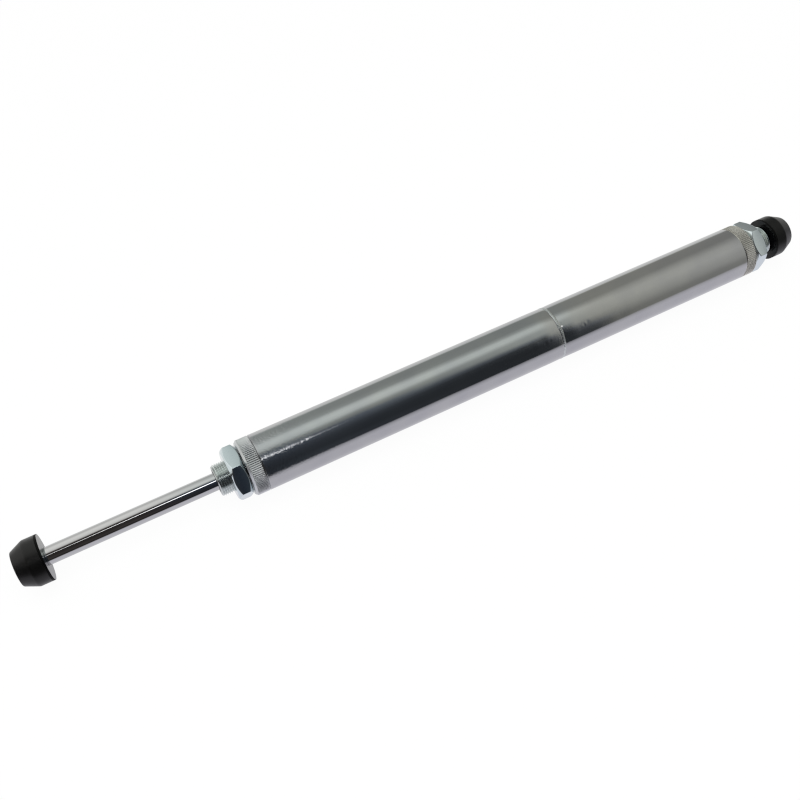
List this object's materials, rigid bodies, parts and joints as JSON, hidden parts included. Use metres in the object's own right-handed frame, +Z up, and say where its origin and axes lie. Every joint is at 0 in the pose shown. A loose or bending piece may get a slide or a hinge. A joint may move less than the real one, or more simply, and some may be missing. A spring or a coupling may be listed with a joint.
{
  "type": "double-ended hydraulic damper",
  "caption": "Long slim hydraulic damper: a welded steel tube with knurled end collars, threaded noses with lock nuts, and a through rod carrying a tapered rubber buffer at each end.",
  "frame": {"origin": "on the rod's axis, in the middle of the left nose's free thread, where a bracket holds the damper", "axes": "+X along the rod towards the right end, the end whose buffer is drawn in at rest; +Z up as the damper lies; the shape is round about X"},
  "size_m": [0.404, 0.0264, 0.0264],
  "materials": {
    "plated_tube": "bright zinc plated drawn steel tube",
    "plated_cap": "zinc plated turned steel with a straight knurl",
    "plated_nut": "bright zinc plated, faintly blue-green",
    "weld_metal": "plated weld bead, left as welded",
    "chromed_rod": "ground and hard chromed, near mirror",
    "turned_steel": "turned, with fine concentric tool marks",
    "blackened_steel": "turned, then black phosphated and oiled, semi-gloss",
    "spring_steel": "dark oiled spring steel",
    "bronze": "sintered bronze",
    "piston_metal": "turned aluminium",
    "guide_plastic": "unfilled bearing plastic",
    "seal_rubber": "smooth black nitrile",
    "buffer_rubber": "moulded black rubber, satin"
  },
  "bodies": {
    "housing": {"cylinder_tube": "plated_tube", "extension_tube": "plated_tube", "weld_bead": "weld_metal", "left_end_cap": "plated_cap", "right_end_cap": "plated_cap", "left_lock_nut": "plated_nut", "right_lock_nut": "plated_nut", "left_guide_bush": "bronze", "right_guide_bush": "bronze", "left_wiper": "seal_rubber", "right_wiper": "seal_rubber", "left_rod_seal": "seal_rubber", "left_seal_clip": "spring_steel", "left_cap_o_ring": "seal_rubber", "right_cap_o_ring": "seal_rubber", "bulkhead": "turned_steel", "bulkhead_bush": "bronze", "bulkhead_rod_seal": "seal_rubber", "bulkhead_seal_clip": "spring_steel", "bulkhead_o_ring": "seal_rubber", "bulkhead_clip": "spring_steel"},
    "piston_rings": {"piston_seal_ring": "seal_rubber", "piston_guide_band": "guide_plastic"},
    "rod": {"piston_rod": "chromed_rod", "piston": "piston_metal", "left_piston_clip": "spring_steel", "right_piston_clip": "spring_steel", "left_buffer_plate": "blackened_steel", "right_buffer_plate": "blackened_steel", "left_buffer": "buffer_rubber", "right_buffer": "buffer_rubber"}
  },
  "joints": [
    {"name": "rod_slide", "type": "slide", "parent": "housing", "child": "piston_rings", "axis": [1, 0, 0], "range_m": [0, 0.0755]},
    {"name": "rod_turn", "type": "hinge", "parent": "piston_rings", "child": "rod", "pos_m": [0, 0, 0], "axis": [1, 0, 0], "continuous": true}
  ]
}
